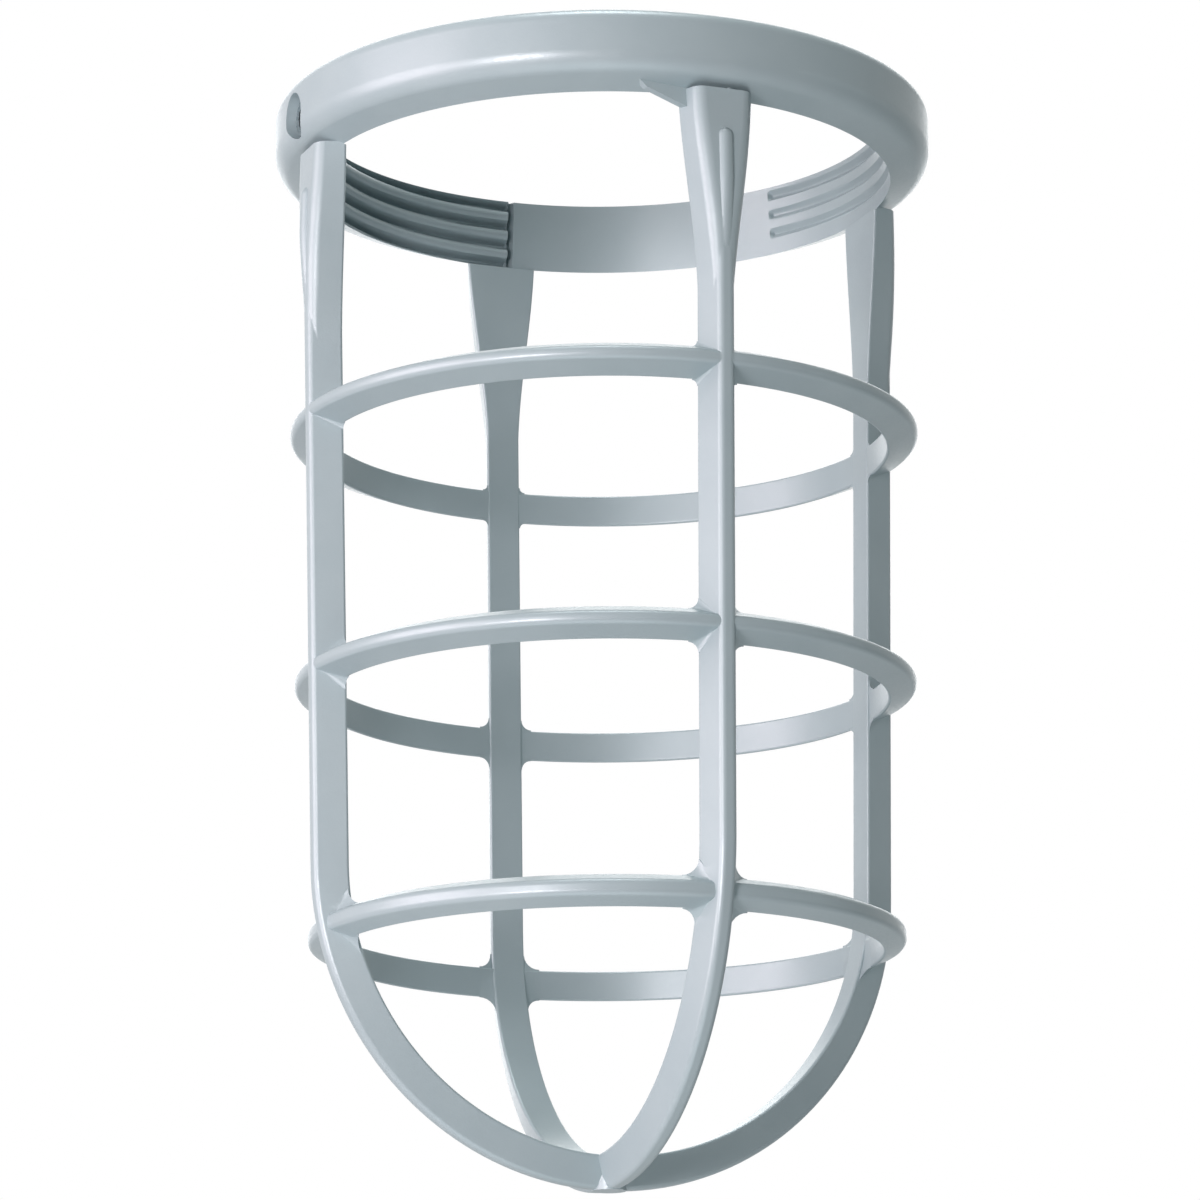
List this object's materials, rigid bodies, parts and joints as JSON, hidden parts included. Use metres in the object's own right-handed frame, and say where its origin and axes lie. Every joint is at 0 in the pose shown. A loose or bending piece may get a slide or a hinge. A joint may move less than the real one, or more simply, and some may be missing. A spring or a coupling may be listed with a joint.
{
  "type": "light fixture guard",
  "caption": "Cast light fixture guard: a threaded collar with a domed cage of upright ribs and flat-faced rings, locked by a set screw.",
  "frame": {"origin": "centre of the collar's top rim, on the thread's axis", "axes": "+Z along the thread's axis, up into the light fixture; the cage hangs along -Z, and +X and +Y look out of the middle of two windows between the ribs"},
  "size_m": [0.1174, 0.1174, 0.1937],
  "materials": {
    "cast_aluminium": "satin silver-grey die-cast aluminium with a fine metallic grain",
    "screw_steel": "plain zinc-plated steel"
  },
  "bodies": {
    "root": {"cast_guard": "cast_aluminium", "set_screw": "screw_steel"}
  },
  "joints": []
}
